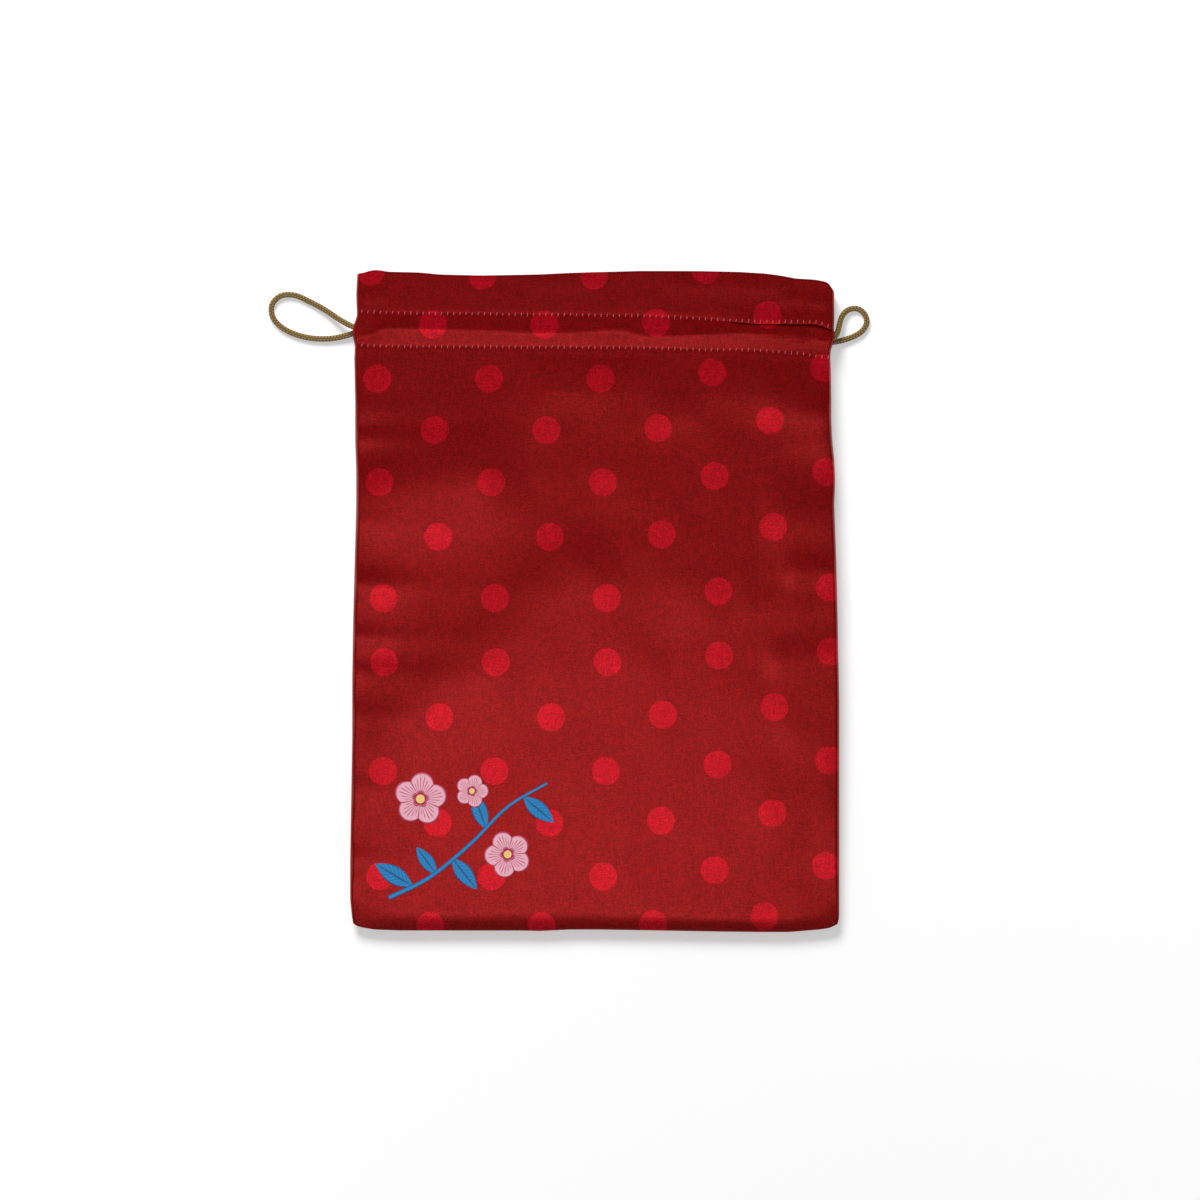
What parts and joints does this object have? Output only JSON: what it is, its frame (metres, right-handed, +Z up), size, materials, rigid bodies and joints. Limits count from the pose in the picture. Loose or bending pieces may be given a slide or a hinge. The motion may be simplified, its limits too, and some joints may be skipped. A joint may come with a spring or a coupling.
{
  "type": "drawstring pouch",
  "caption": "Flat satin pouch with a header and cord casing sewn across its mouth, an endless cord that shows as a loop at each side, polka dots and a blossom print.",
  "frame": {"origin": "middle of the cloth's footprint, on the surface that the pouch lies on", "axes": "+Y towards the mouth, +X to the right when the printed front is seen, +Z up out of the front"},
  "size_m": [0.3026, 0.3323, 0.0144],
  "materials": {
    "satin": "red satin with brighter red polka dots",
    "cord": "braided olive gold cord",
    "thread": "rose sewing thread",
    "print_pink": "printed satin",
    "print_wine": "printed satin",
    "print_blue": "printed satin"
  },
  "bodies": {
    "root": {"front_panel": "satin", "back_panel": "satin", "drawstring": "cord", "front_upper_stitches": "thread", "front_lower_stitches": "thread", "back_upper_stitches": "thread", "back_lower_stitches": "thread", "seam_thread": "thread", "print_blossom_1": "print_pink", "print_blossom_2": "print_pink", "print_blossom_3": "print_pink", "print_blossom_heart_1": "print_wine", "print_blossom_heart_2": "print_wine", "print_blossom_heart_3": "print_wine", "print_twig": "print_blue"}
  },
  "joints": []
}
